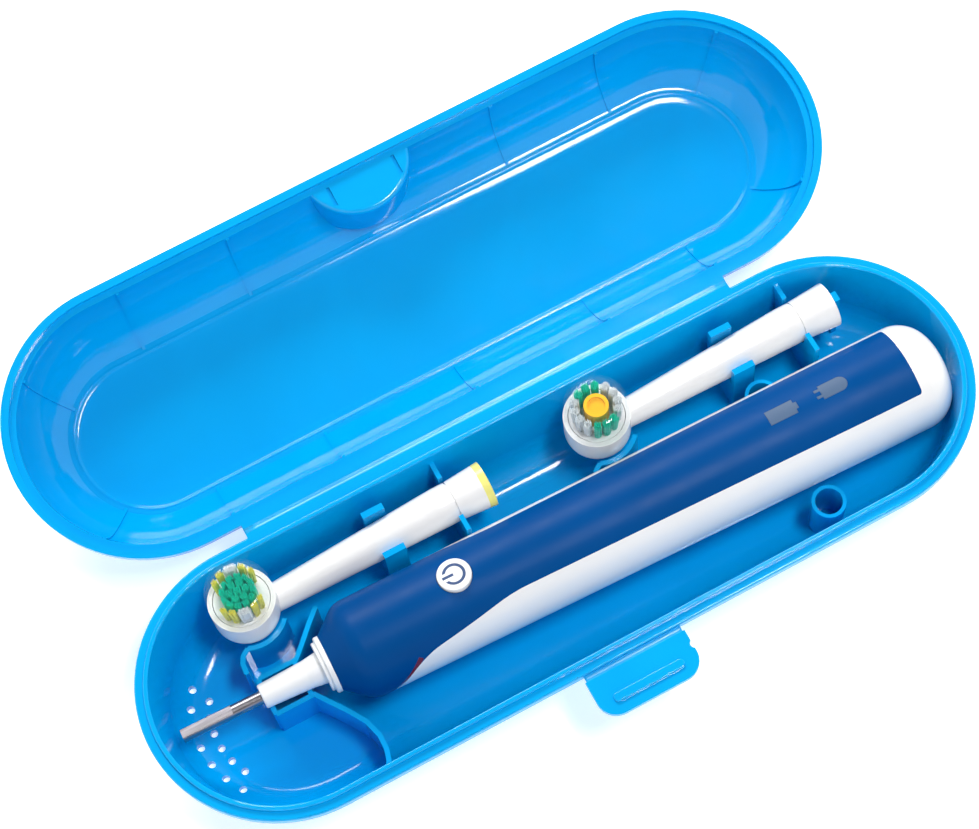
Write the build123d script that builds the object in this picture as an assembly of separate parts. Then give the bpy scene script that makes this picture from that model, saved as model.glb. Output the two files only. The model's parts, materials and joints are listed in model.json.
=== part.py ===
from build123d import *
import math
import os

# Travel case for a rechargeable toothbrush, open, with a handle and two brush heads in it.
# Millimetres. Origin: centre of the base's flat bottom. +X runs along the case towards the
# handle's bottom end, +Y towards the hinge and the lid, +Z up.

# ---------------------------------------------------------------- case
case_l = 218.0            # overall length of the closed case
case_w = 69.0             # overall width; both ends are full half circles
base_h = 24.0             # base bottom to its rim plane
lid_h = 22.0              # lid rim plane to the outside of its flat top
floor_t = 2.0             # flat floor of base and lid
wall_t = 1.6              # side walls
wall_draft = 10.0         # degrees the base wall leans in
base_inner_r = 9.0        # inside radius from wall to floor
flange_h = 2.8            # height of the rim band round both halves
ledge_w = 2.2             # flat part of the base rim outside the lip
lip_t = 1.2               # raised lip inside the ledge
lip_h = 1.0
rebate_gap = 0.2          # play of the lip in the lid's rebate
rim_gap = 0.2             # play between the two rims when closed
lid_floor_inset = 15.0    # lid: rim edge to the line where the wall meets the floor
lid_wall_lean = 4.0       # degrees off vertical at the lid's rim
bead_w = 0.8              # fine raised line round the lid floor
bead_h = 0.5
rib_t = 0.8               # fine ribs up the lid's wall
rib_h = 0.5
rib_pitch = 36.6          # middle rib to the next
rib_end_pitch = 29.9      # that one to the outermost
rib_end_angle = 45.0      # ribs on the round ends
vent_r = 0.9
vent_inner_n = 6
vent_outer_n = 7
vent_inner_ring = 20.2
vent_outer_ring = 24.4
vent_step = 11.7          # degrees

# hinge and latch
hinge_gap = 3.3           # rim edge to rim edge across the lid hinge
hinge_l = 132.4
hinge_strip_t = 1.4
hinge_film_t = 0.5
hinge_film_w = 1.3
lid_raise = 11.5          # degrees that the open lid stands up from flat
latch_w = 26.4
latch_reach = 11.2        # hinge line to the tab's outer edge
latch_t = 1.4
latch_off = 1.1           # rim edge to the latch's hinge line
latch_drop = 1.2          # hinge line under the rim plane
latch_corner = 5.0
latch_notch_r = 1.2       # soft notch in the tab's side
catch_w = 18.0            # catch plate on the lid's front
catch_t = 1.4
catch_h = 7.7
ridge_w = 18.6            # wide low ridge on the tab
ridge_at = 2.8            # from the tab's outer edge
ridge_h = 0.7
ridge_t = 2.4
scoop_r = 12.6            # finger recess in the lid behind the catch
scoop_depth = 16.5        # how far up the lid it goes
slot_w = 0.9              # two blind slots over the recess
slot_l = 5.4
slot_deep = 0.7

# ---------------------------------------------------------------- handle
under_gap = 2.1           # handle to the case's floor
handle_yaw = -1.63        # degrees, bottom end towards the latch
handle_roll = 8.5         # degrees, panel towards the hinge
end_gap = 0.25            # bottom end to the case's round end wall
nose_r = 7.0
front_r = 12.4
mid_r = 13.0
tail_r = 13.4
shoulder_fillet = 6.0
end_fillet = 8.5
skin_t = 1.9              # handle wall
panel_half = 46.5         # degrees of blue panel each side of its middle line
panel_corner = 0.8
neck_r = 3.0
flange_r = 7.2            # seat of a brush head's end, in two steps
flange_t = 2.2
flange_step_r = 6.2
flange_step_t = 0.9
shaft_r = 1.6
shaft_flat = 1.1          # axis to the shaft's flat
shaft_flat_l = 13.0
run_gap = 0.05            # running fits
fit_gap = 0.15            # loose seats
button_r = 4.2
button_proud = 0.6
button_stroke = 0.5
symbol_r = 2.8
symbol_w = 0.7
symbol_deep = 0.25
lens_gap = 0.05
battery_r = 6.5
core_z = -2.6             # battery and motor axis, under the handle's own
motor_r = 6.5
motor_l = 27.0
gear_m = 0.4
pinion_n = 12
gear_n = 24
gear_t = 3.0
crank_r = 2.2
crank_pin_r = 0.8
rocker_t = 3.0
rocker_l = 8.4
seal_t = 2.4
web_t = 2.0               # walls across the chassis
step_gap = 0.3            # end play between turning pieces
board_t = 1.2
board_z = 4.4
board_w = 14.0
switch_h = 1.4
plunger_h = 0.4
coil_r = 8.0
coil_in_r = 5.2
coil_l = 11.0
socket_r = 3.4            # charging recess in the bottom end
socket_l = 12.0
socket_wall = 1.2

# ---------------------------------------------------------------- brush heads
head_roll = (3.0, 0.0)    # degrees, bristles towards the hinge
head_twist = (-8.0, 0.0)  # degrees the brush is turned
head_l = 65.2             # brush axis to the open end
tube_r0 = 3.6             # the tube is thinnest at tube_x0
tube_r1 = 5.1
tube_x0 = 8.0
tube_dip = 1.9            # its middle there under the drive axis
collar_r = 5.8            # open end of the collar
ring_l = 1.9
bore_end_r = 4.2
bore_end_l = 15.0
bore_mid_r = 2.7
bore_front_r = 1.7
link_z = -1.2             # the front bore's middle under the drive axis
cup_r = 8.2
cup_wall = 1.2
cup_low = -5.5
cup_high = 6.5
cup_floor = -4.0
cup_back_fillet = 5.0
cup_floor_fillet = 2.5
disc_r = 6.85
disc_z = 4.1
disc_t = 1.5
slice_t = 0.8             # top slice of the disc that carries the bristles
pin_r = 1.2
strand = 0.46             # side of a square bristle strand
strand_pitch = 0.55
strand_l = 7.0
strand_lean = 4.0         # degrees outwards, outer tufts
middle_r = 4.45           # green middle of head a
cover_h = 8.5
cover_t = 0.6
cover_fillet = 3.0
cover_gap = 0.05
socket_gap = 1.0
link_x0 = 3.4             # steel link's finger end
link_r = 0.8
polish_r = 3.05
polish_h = 6.7
polish_wall = 0.9

# cradles in the base
between = 5.3             # handle to the heads' tubes
cup_gap = 1.14            # brush cups to the hinge-side wall
clip_l = 5.7
clip_t = 1.6
clip_gap = 0.35
rib_wall = 1.2
seat_gap = 0.3
pocket_gap = 0.5
cradle_half = 4.9         # middle of each cradle wall from the neck's side line
post_r = 4.2
post_wall = 0.9
saddle_w = 14.0
peg_gap = 0.6

# ---------------------------------------------------------------- derived
case_r = case_w / 2
straight = (case_l - case_w) / 2
hinge_y = case_r + hinge_gap / 2
hinge_z = base_h + rim_gap / 2
latch_y = -(case_r + latch_off)
latch_z = base_h - latch_drop
lean = math.tan(math.radians(wall_draft))
sink = 0.6                # how far added features run into the wall they stand on
rebate_h = lip_h + rebate_gap + 0.1
lip_in = case_r - ledge_w - lip_t

# places of the handle and the heads in the case
handle_z = floor_t + under_gap + tail_r
head_z = handle_z + 0.5
head_y = lip_in - lean * (base_h - head_z) - cup_r - cup_gap
handle_y = head_y - tube_r1 - between - mid_r
head_x = (0.2 - straight, straight + 12.1 - head_l)
slope = math.tan(math.radians(handle_yaw))
end_room = lip_in - lean * (base_h - handle_z) - end_fillet - end_gap
end_side = abs(handle_y + slope * case_l / 2) + tail_r - end_fillet
body_x1 = straight + end_fillet + math.sqrt(end_room ** 2 - end_side ** 2)

# along the handle, from its two ends
shaft_x0 = 7.8 - case_l / 2
neck_x0 = shaft_x0 + 20.6
body_x0 = shaft_x0 + 38.4
shoulder_x = body_x0 + 6.3
light_x = body_x0 + 15.8  # red light strip
button_x = body_x0 + 34.7
sweep_x = body_x0 + 44.8  # where the panel's edge starts to run down the side
mid_x = body_x0 + 92.8
battery_lens_x = body_x1 - 42.6
post_x = body_x1 - 41.0
charge_lens_x = body_x1 - 29.4
tail_x = body_x1 - 21.3
cap_x = body_x1 - 7.3     # seam of the bottom cap
panel_end_x = cap_x - 2.6
sleeve_x1 = shoulder_x + 5.0
seal_x0 = sleeve_x1 + fit_gap
web_x0 = seal_x0 + seal_t
rocker_x0 = web_x0 + web_t + step_gap
gear_x0 = rocker_x0 + rocker_t + 1.9
axle_x0 = gear_x0 + gear_t + step_gap
motor_x = axle_x0 + web_t + 0.1
axle_z = core_z + gear_m * (pinion_n + gear_n) / 2 + 0.05
chassis_x1 = cap_x - 17.0
battery_x = motor_x + motor_l + 19.35
battery_l = chassis_x1 - 18.0 - battery_x

# along a brush head, from its brush axis
tube_x1 = head_l - 13.2
collar_x = head_l - 9.6
bore_mid_x = head_l - 33.2
clip_x = head_l - 27.8
head_rib_x = head_l - 9.7

# heights and places of the cradles
clip_top = head_z + 4.4
head_rib_top = head_z + 3.8
pocket_top = head_z - 1.5
cradle_top = handle_z - 2.5
post_top = handle_z - 0.5
saddle_top = handle_z - 8.5
cradle_y = handle_y + slope * neck_x0 + 0.3
post_front_y = handle_y + slope * post_x - mid_r - post_r - 1.7
post_back_y = handle_y + slope * post_x + mid_r - 0.4
saddle_x = (shoulder_x + 14.5, 20.0, body_x1 - 19.3)


# ---------------------------------------------------------------- helpers
def rounded(face, marks):
    """Fillet the face's corners nearest to each (x, y) mark, one radius a mark."""
    for (mx, my), r in marks:
        corner = min(face.vertices(), key=lambda v: (v.X - mx) ** 2 + (v.Y - my) ** 2)
        face = fillet(corner, r)
    return face


def outline(points, marks=()):
    """Closed face in XY through the points, with some corners rounded."""
    return rounded(make_face(Polyline(*points, close=True)), marks)


def turned(points, marks=()):
    """Solid turned about X from a profile of (x, radius) points."""
    return revolve(outline(points, marks), Axis.X)


def rod(r, x0, x1, y=0.0, z=0.0):
    """Cylinder along X."""
    return Pos((x0 + x1) / 2, y, z) * Rot(0, 90, 0) * Cylinder(r, x1 - x0)


def block(x0, x1, y0, y1, z0, z1):
    return Pos((x0 + x1) / 2, (y0 + y1) / 2, (z0 + z1) / 2) * Box(x1 - x0, y1 - y0, z1 - z0)


def round_the_case(section):
    """Run a half section, drawn as (distance from the centre line, height), round the case."""
    face = Plane.YZ * section
    side = extrude(Pos(-straight, 0, 0) * face, 2 * straight, dir=(1, 0, 0))
    right = Pos(straight, 0, 0) * revolve(face, Axis((0, 0, 0), (0, 0, -1)), 180)
    left = Pos(-straight, 0, 0) * revolve(face, Axis.Z, 180)
    return side + mirror(side, Plane.XZ) + right + left


def one_solid(shape):
    """The largest solid of a shape, alone."""
    return max(shape.solids(), key=lambda s: s.volume)


# ---------------------------------------------------------------- base
def base_in(z):
    """Inside wall of the base: distance from the centre line at height z."""
    return lip_in - lean * (base_h - z)


def base_cavity(grow=0.0):
    """The room inside the base as a solid, larger by grow on floor and wall."""
    z0 = floor_t - grow
    side = grow / math.cos(math.radians(wall_draft))
    foot = (base_in(z0) + side, z0)
    return round_the_case(outline([(0, z0), foot, (base_in(base_h) + side, base_h), (0, base_h)],
                                  [(foot, base_inner_r + grow)]))


def vents():
    holes = []
    for n, ring in ((vent_inner_n, vent_inner_ring), (vent_outer_n, vent_outer_ring)):
        for i in range(n):
            a = math.radians(180 + vent_step * (i - (n - 1) / 2))
            at = Pos(-straight + ring * math.cos(a), ring * math.sin(a), base_h / 2)
            holes.append(at * Cylinder(vent_r, base_h))
    return holes


def tube_at(x):
    """Radius of a brush head's tube and the height of its middle, at x from the brush axis."""
    t = min(1.0, (x - tube_x0) / (tube_x1 - tube_x0))
    return tube_r0 + (tube_r1 - tube_r0) * t, tube_dip * (t - 1)


def sector(a0, a1, r):
    """Pie slice in XY from a0 to a1 degrees, less than a half turn, with a straight far side."""
    pts = [(0, 0)]
    for k in range(5):
        a = math.radians(a0 + (a1 - a0) * k / 4)
        pts.append((r * math.cos(a), r * math.sin(a)))
    return make_face(Polyline(*pts, close=True))


def head_features(x_head, last):
    """Clip, saddle, rib and pocket for one brush head."""
    parts = []
    r, dip = tube_at(clip_x)
    for side in (1, -1):
        y0 = head_y + side * (r + clip_gap)
        y1 = y0 + side * clip_t
        finger = block(x_head + clip_x - clip_l / 2, x_head + clip_x + clip_l / 2,
                       min(y0, y1), max(y0, y1), 0, clip_top)
        parts.append(finger)
    saddle = block(x_head + clip_x - clip_l / 2, x_head + clip_x + clip_l / 2,
                   head_y - r - clip_gap, head_y + r + clip_gap, 0, head_z + dip - r * 0.6)
    parts.append(saddle - rod(r + seat_gap, x_head + clip_x - clip_l, x_head + clip_x + clip_l,
                              head_y, head_z + dip))
    xr = x_head + head_rib_x
    rr = tube_r1 + seat_gap
    y_low = handle_y + mid_r
    rib = block(xr - rib_wall / 2, xr + rib_wall / 2, y_low, case_r, 0, head_rib_top)
    rib -= rod(rr, xr - rib_wall, xr + rib_wall, head_y, head_z)
    rib -= block(xr - rib_wall, xr + rib_wall, head_y - rr, head_y + rr, head_z, base_h)
    parts.append(rib)
    inner = cup_r + pocket_gap
    ring = Circle(inner + rib_wall) - Circle(inner)
    ring &= sector(-115, -40, 2 * inner)
    parts.append(Pos(x_head, head_y, 0) * extrude(ring, pocket_top))
    tail = [(x_head + x, head_y + y) for x, y in ((-3.9, -8.4), (-5.7, -9.6), (-6.6, -11.3),
                                                  (-6.8, -13.5))]
    parts += thin_wall(tail, pocket_top)
    if last:
        x0 = x_head + head_l + peg_gap
        parts.append(block(x0, x0 + 1.4, head_y - 1.6, head_y + 1.0, 0, head_rib_top))
    return parts


def body_r(x):
    """Radius of the handle's straight part at x."""
    if x < mid_x:
        return front_r + (mid_r - front_r) * (x - shoulder_x) / (mid_x - shoulder_x)
    return mid_r + (tail_r - mid_r) * min(1.0, (x - mid_x) / (tail_x - mid_x))


def handle_room(extra):
    """Space the handle needs, with straight sides above its axis so that it lifts out."""
    x0 = body_x0 - flange_t - 0.8
    x1 = shoulder_x - 2.0
    x2 = body_x1 + extra
    low = turned([(x0, 0), (x0, flange_r + extra), (body_x0, flange_r + extra),
                  (x1, front_r + extra), (mid_x, mid_r + extra), (tail_x, tail_r + extra),
                  (x2, tail_r + extra), (x2, 0)],
                 [((x2, tail_r + extra), end_fillet)])
    high = Part()
    for xa, xb, r in ((x0, x1, flange_r), (x1, mid_x, mid_r), (mid_x, x2, tail_r)):
        high += block(xa, xb, -r - extra, r + extra, 0, 2 * base_h)
    return Pos(0, handle_y, handle_z) * Rot(0, 0, handle_yaw) * (low + high)


def thin_wall(points, z1, t=rib_wall):
    """Upright wall of thickness t along plan points, from the floor to z1."""
    parts = []
    for (xa, ya), (xb, yb) in zip(points, points[1:]):
        d = math.hypot(xb - xa, yb - ya)
        a = math.degrees(math.atan2(yb - ya, xb - xa))
        parts.append(Pos((xa + xb) / 2, (ya + yb) / 2, z1 / 2) * Rot(0, 0, a) * Box(d, t, z1))
        parts.append(Pos(xb, yb, z1 / 2) * Cylinder(t / 2, z1))
    return parts


def axis_y(x):
    """Height in Y of the handle's axis at x."""
    return handle_y + slope * x


def handle_features():
    """Neck cradle, wing walls, posts and floor saddles that hold the handle."""
    top = cradle_top
    x0 = neck_x0 + 1.2
    x1 = body_x0 - flange_t - 4.3
    up = cradle_y + cradle_half
    down = cradle_y - cradle_half
    parts = thin_wall([(x0, up), (x1, up), (x1 + 2.8, up + 2.6), (x1 + 6.4, up + 6.2),
                       (x1 + 9.7, up + 9.2)], top)
    parts += thin_wall([(x0, down), (x1, down), (x1 + 2.4, down - 3.5), (x1 + 5.4, down - 7.9),
                        (x1 + 7.8, down - 12.0), (x1 + 9.0, down - 16.4), (x1 + 8.9, down - 20.0),
                        (x1 + 8.1, down - 22.8), (x1 + 6.9, down - 24.8)], top)
    for x, r in ((x0, neck_r), (x1 - rib_wall / 2, neck_r + 0.5)):
        sill = block(x - rib_wall / 2, x + rib_wall / 2, down, up, 0, top)
        parts.append(sill - rod(r + seat_gap, x - 3, x + 3, axis_y(x), handle_z))
    for y in (post_front_y, post_back_y):
        post = Cylinder(post_r, post_top) - Cylinder(post_r - post_wall, base_h)
        parts.append(Pos(post_x, y, post_top / 2) * post)
    for x in saddle_x:
        half = saddle_w / 2
        parts.append(block(x - 0.8, x + 0.8, axis_y(x) - half, axis_y(x) + half, 0, saddle_top))
    return parts


def base_shell():
    """One moulding: tray, rim, vents, clips and cradles."""
    r = case_r
    thick = wall_t / math.cos(math.radians(wall_draft))
    low = base_h - flange_h
    pts = [(0, 0), (base_in(0) + thick, 0), (base_in(low) + thick, low), (r, low), (r, base_h),
           (r - ledge_w, base_h), (r - ledge_w, base_h + lip_h),
           (r - ledge_w - lip_t, base_h + lip_h), (base_in(floor_t), floor_t), (0, floor_t)]
    marks = [((base_in(0) + thick, 0), base_inner_r + wall_t),
             ((base_in(floor_t), floor_t), base_inner_r),
             ((r, base_h), 0.5),
             ((r, low), 0.4),
             ((r - ledge_w, base_h + lip_h), 0.4),
             ((r - ledge_w - lip_t, base_h + lip_h), 0.4)]
    shell = round_the_case(outline(pts, marks))
    features = []
    for i, x in enumerate(head_x):
        features += head_features(x, last=(i == 1))
    features += handle_features()
    inside = (Part() + features) & base_cavity(grow=sink)
    shell = shell + (inside - handle_room(seat_gap))
    strip = block(-hinge_l / 2, hinge_l / 2, r - 1.0, hinge_y - hinge_film_w / 2,
                  base_h - hinge_strip_t, base_h)
    shell = shell + strip
    return shell - vents()


# ---------------------------------------------------------------- lid
def lid_arc(inset_top, z_top, inset_low, z_low):
    """Curved wall line from the rim to the floor, as (distance from centre line, height)."""
    x0, y0 = case_r - inset_top, z_top
    x1, y1 = case_r - inset_low, z_low
    chord = math.hypot(x1 - x0, y1 - y0)
    half = math.atan2(x0 - x1, y0 - y1) - math.radians(lid_wall_lean)
    bulge = chord / 2 * math.tan(half / 2)
    mx, my = (x0 + x1) / 2, (y0 + y1) / 2
    nx, ny = (y0 - y1) / chord, -(x0 - x1) / chord
    return (x0, y0), (mx + nx * bulge, my + ny * bulge), (x1, y1)


def arc_face(lines):
    """Face from pieces: two points make a line, three an arc."""
    edges = []
    for p in lines:
        edges.append(Line(*p) if len(p) == 2 else ThreePointArc(*p))
    return make_face(edges)


def lid_inner():
    """The lid's inside wall line."""
    return lid_arc(ledge_w + lip_t + rebate_gap, -rebate_h, lid_floor_inset, floor_t - lid_h)


def lid_outer():
    """The lid's outside wall line."""
    return lid_arc(ledge_w + lip_t + rebate_gap - wall_t, -flange_h,
                   lid_floor_inset - 0.9, -lid_h)


def lid_solid():
    """The lid's outside shape, filled in. Rim plane at z 0, opening upwards."""
    r = case_r
    outer = lid_outer()
    return round_the_case(arc_face([
        ((0, -lid_h), outer[2]), outer[::-1], (outer[0], (r, -flange_h)),
        ((r, -flange_h), (r, 0)), ((r, 0), (0, 0)), ((0, 0), (0, -lid_h))]))


def lid_wall_rib():
    """One fine rib up the inside of the lid's wall, on the +Y side at x 0."""
    edge = ledge_w + lip_t + rebate_gap
    top = -rebate_h - 0.3
    a = lid_arc(edge + rib_h, top, lid_floor_inset + bead_w / 2, floor_t + bead_h / 2 - lid_h)
    b = lid_arc(edge - 0.5, top, lid_floor_inset - 0.3, floor_t - 0.4 - lid_h)
    face = arc_face([a, (a[2], b[2]), b[::-1], (b[0], a[0])])
    return extrude(Pos(-rib_t / 2, 0, 0) * (Plane.YZ * face), rib_t, dir=(1, 0, 0))


def lid_flat():
    """The lid laid flat open, centre line on y 0, rim plane on z 0, opening upwards."""
    r = case_r
    edge = r - ledge_w + rebate_gap
    outer = lid_outer()
    inner = lid_inner()
    x2, z2 = inner[2]
    return round_the_case(arc_face([
        ((0, -lid_h), outer[2]), outer[::-1], (outer[0], (r, -flange_h)),
        ((r, -flange_h), (r, 0)), ((r, 0), (edge, 0)), ((edge, 0), (edge, -rebate_h)),
        ((edge, -rebate_h), inner[0]), inner,
        ((x2, z2), (x2, z2 + bead_h)), ((x2, z2 + bead_h), (x2 - bead_w, z2 + bead_h)),
        ((x2 - bead_w, z2 + bead_h), (x2 - bead_w, z2)), ((x2 - bead_w, z2), (0, z2)),
        ((0, z2), (0, -lid_h))]))


def lid_shell():
    """Lid moulding with wall ribs, finger recess and catch plate, in its raised open place."""
    lid = lid_flat()
    rib = lid_wall_rib()
    ribs = []
    for x in (-rib_pitch - rib_end_pitch, -rib_pitch, 0, rib_pitch, rib_pitch + rib_end_pitch):
        if x:
            ribs.append(Pos(x, 0, 0) * rib)
        ribs.append(Pos(x, 0, 0) * Rot(0, 0, 180) * rib)
    for sx in (1, -1):
        for sy in (1, -1):
            a = sx * sy * -rib_end_angle if sy > 0 else 180 + sx * rib_end_angle
            ribs.append(Pos(sx * straight, 0, 0) * Rot(0, 0, a) * rib)
    lid = lid + ribs
    # finger recess: a round-backed hollow under the front rim, walled off inside the lid
    hull_h = scoop_depth + wall_t - rebate_h
    hull = Pos(0, case_r + 0.2, -rebate_h - hull_h / 2) * Cylinder(scoop_r + wall_t, hull_h)
    hull = fillet(hull.edges().sort_by(Axis.Z)[0], 3.0)
    hull = fillet(hull.edges().sort_by(Axis.Z)[-1], 1.2)
    lid = lid + (hull & lid_solid())
    hollow_h = scoop_depth - flange_h
    hollow = Pos(0, case_r + 0.2, -flange_h - hollow_h / 2) * Cylinder(scoop_r, hollow_h)
    lid -= fillet(hollow.edges().sort_by(Axis.Z)[0], 1.8)
    for s in (1, -1):
        x = s * catch_w / 2
        lid -= block(x - slot_w / 2, x + slot_w / 2, lip_in - slot_l, lip_in - 0.3,
                     -rebate_h - slot_deep, 0)
    plate = block(-catch_w / 2, catch_w / 2, case_r - catch_t, case_r, -catch_h, -flange_h + 0.5)
    lid = lid + plate
    strip = block(-hinge_l / 2, hinge_l / 2, -case_r - hinge_gap / 2 + hinge_film_w / 2,
                  -case_r + 1.0, -hinge_strip_t, 0)
    lid = one_solid(lid + strip)
    return lid_place() * lid


def lid_place():
    """From the lid laid flat about its centre line to its raised open place."""
    return Pos(0, hinge_y, hinge_z) * Rot(lid_raise, 0, 0) * Pos(0, hinge_y, -rim_gap / 2)


def hinge_film():
    """Thin living hinge along the back, shaped as moulded, bent by the lid's raise."""
    w = hinge_film_w / 2
    half = hinge_l / 2
    top = -rim_gap / 2
    near = block(-half, half, -w, 0, top - hinge_film_t, top)
    far = Rot(lid_raise, 0, 0) * block(-half, half, -0.15, w, top - hinge_film_t, top)
    return Pos(0, hinge_y, hinge_z) * (near + far)


# ---------------------------------------------------------------- latch
def latch_tab():
    """Front tab, standing straight out as it does when the case is open."""
    reach = latch_reach
    w = latch_w / 2
    plan = outline([(-w, -0.5), (-w, -reach), (w, -reach), (w, -0.5)],
                   [((-w, -reach), latch_corner), ((w, -reach), latch_corner)])
    tab = extrude(plan, latch_t / 2, both=True)
    top = latch_t / 2
    ridge = block(-ridge_w / 2, ridge_w / 2, -reach + ridge_at, -reach + ridge_at + ridge_t,
                  top - 0.2, top + ridge_h)
    ridge = fillet(ridge.edges().filter_by(Axis.Z), ridge_t / 2 - 0.05)
    ridge = fillet(ridge.edges().group_by(Axis.Z)[-1], 0.35)
    tab -= Pos(w + 0.6, -4.4, 0) * Cylinder(latch_notch_r, 3 * latch_t)
    return Pos(0, latch_y, latch_z) * (tab + ridge)


def latch_film():
    z = latch_z
    return block(-latch_w / 2 + 0.4, latch_w / 2 - 0.4, latch_y - 0.5, -case_r,
                 z - hinge_film_t / 2, z + hinge_film_t / 2)


# ---------------------------------------------------------------- handle, in its own frame
def put_handle(shape):
    """Handle frame: X along its axis, panel up. Into the case."""
    return Pos(0, handle_y, handle_z) * Rot(0, 0, handle_yaw) * Rot(-handle_roll, 0, 0) * shape


def handle_solid(inset=0.0):
    """Outside of the handle, or the room inside it when inset by the wall."""
    i = inset
    fil = [((shoulder_x + i, front_r - i), max(0.6, shoulder_fillet - i)),
           ((body_x1 - i, tail_r - i), max(0.6, end_fillet - i))]
    return turned([(body_x0 + i, 0), (body_x0 + i, nose_r - i * 0.6), (shoulder_x + i, front_r - i),
                   (mid_x, mid_r - i), (tail_x, tail_r - i), (body_x1 - i, tail_r - i),
                   (body_x1 - i, 0)], fil)


def panel_region():
    """Side-on region of the blue grip panel, pulled across the handle."""
    z_edge = mid_r * math.cos(math.radians(panel_half))
    far = 30.0
    x0 = shoulder_x + 2.0
    x1 = light_x + 4.0
    pts = [(x0, -far), (x0, -7.5), (x1, 4.6), (sweep_x, z_edge), (panel_end_x, z_edge),
           (panel_end_x, far), (body_x0 - 5, far), (body_x0 - 5, -far)]
    side = outline(pts, [(pts[1], 6.0), (pts[2], 16.0), (pts[3], 50.0)])
    region = extrude(Plane.XZ * side, far, both=True)
    half_w = mid_r * math.sin(math.radians(panel_half)) + 0.6
    for s in (1, -1):
        c = panel_corner
        nick = block(panel_end_x - c, panel_end_x + 1, half_w - c, half_w + 9, 0, far)
        nick -= Pos(panel_end_x - c, half_w - c, far / 2) * Cylinder(c, far)
        region -= nick if s > 0 else mirror(nick, Plane.XZ)
    return region


def skin():
    """The handle's hollow wall, up to the bottom cap's seam."""
    wall = handle_solid() - handle_solid(skin_t)
    return wall & block(body_x0 - 1, cap_x, -20, 20, -20, 20)


def lens_shapes(grow=0.0):
    """Two clear windows in the panel: battery level and charging plug."""
    g = 2 * grow
    z = mid_r + 2
    a = Pos(battery_lens_x, 0, z) * Box(7.2 + g, 3.9 + g, 14)
    a += Pos(battery_lens_x + 3.9, 0, z) * Box(0.9 + g, 1.8 + g, 14)
    b = Pos(charge_lens_x, 0, z) * Box(5.0 + g, 3.9 + g, 14)
    b += Pos(charge_lens_x + 2.5, 0, z) * Cylinder(1.95 + grow, 14)
    for dy in (-0.9, 0.9):
        b += Pos(charge_lens_x - 3.1, dy, z) * Box(1.6 + g, 0.7 + g, 14)
    return a, b


def light_shape():
    """Strip of the red pressure light, on both flanks just behind the nose."""
    strip = Pos(light_x, 0, 0.6) * Rot(0, 42, 0) * Box(1.3, 60, 11)
    return strip


def grip_panel():
    panel = skin() & panel_region()
    panel -= rod(neck_r + 0.7 + run_gap, body_x0 - 2, shoulder_x + 10)
    panel -= Pos(button_x, 0, mid_r) * Cylinder(button_r + 0.15, 12)
    panel -= light_shape() & band(skin_t - 0.7)
    for window in lens_shapes(lens_gap):
        panel -= window
    return one_solid(panel)


def band(depth):
    """Outer layer of the handle's wall, depth thick."""
    return handle_solid() - handle_solid(depth)


def handle_shell():
    shell = skin() - panel_region()
    return one_solid(shell)


def pressure_light():
    return (light_shape() & band(skin_t - 0.75)) & panel_region()


def lens(i):
    return lens_shapes()[i] & handle_solid()


def neck_sleeve():
    """White neck with the round flange that a brush head's end sits on."""
    x0 = body_x0 - flange_t
    pts = [(neck_x0, shaft_r + run_gap), (neck_x0, neck_r), (body_x0 - 6.0, neck_r + 0.5),
           (x0, bore_end_r - 0.2), (x0, flange_step_r), (x0 + flange_step_t, flange_step_r),
           (x0 + flange_step_t, flange_r), (body_x0, flange_r), (body_x0, neck_r + 0.7),
           (sleeve_x1, neck_r + 0.7), (sleeve_x1, shaft_r + run_gap)]
    return turned(pts, [((x0, flange_step_r), 0.35), ((x0 + flange_step_t, flange_r), 0.5),
                        ((neck_x0, neck_r), 0.4)])


def drive_shaft():
    """Steel shaft with a flat at its tip, carrying the rocker arm inside."""
    shaft = rod(shaft_r, shaft_x0, rocker_x0 + rocker_t)
    shaft -= block(shaft_x0 - 1, shaft_x0 + shaft_flat_l, -5, 5, shaft_flat, 5)
    return shaft


def rocker():
    """Slotted arm on the shaft's inner end that the crank pin swings."""
    x1 = rocker_x0 + rocker_t
    hub = rod(2.9, rocker_x0, x1)
    arm = block(rocker_x0, x1, -2.1, 2.1, 0, rocker_l)
    slot = block(rocker_x0 - 1, x1 + 1, -crank_pin_r - 0.1, crank_pin_r + 0.1, 3.4, rocker_l + 1)
    return hub + (arm - slot) - rod(shaft_r, rocker_x0 - 1, x1 + 1)


def shaft_seal():
    return rod(5.2, seal_x0, seal_x0 + seal_t) - rod(shaft_r + run_gap, seal_x0 - 1, web_x0 + 1)


def gear_face(n, shift=0.0):
    """Thin-toothed spur gear outline, addendum 0.85 and dedendum 1.2 modules."""
    r = gear_m * n / 2
    tip, root = r + 0.85 * gear_m, r - 1.2 * gear_m
    pts = []
    for i in range(n):
        mid = 2 * math.pi * (i + shift) / n
        for rr, w in ((root, 0.30), (r, 0.21), (tip, 0.11), (tip, -0.11), (r, -0.21),
                      (root, -0.30)):
            a = mid - w * 2 * math.pi / n
            pts.append((rr * math.cos(a), rr * math.sin(a)))
    return make_face(Polyline(*pts, close=True))


def wheel_at(n, shift, x0, width, z):
    """Spur gear with its axis along X."""
    return Pos(x0, 0, z) * extrude(Plane.YZ * gear_face(n, shift), width, dir=(1, 0, 0))


def pinion():
    """Motor shaft and pinion, one turning piece."""
    wheel = wheel_at(pinion_n, 0.25 * pinion_n, gear_x0, gear_t, core_z)
    return wheel + rod(0.9, gear_x0, motor_x + motor_l - 2.0, 0, core_z)


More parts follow.
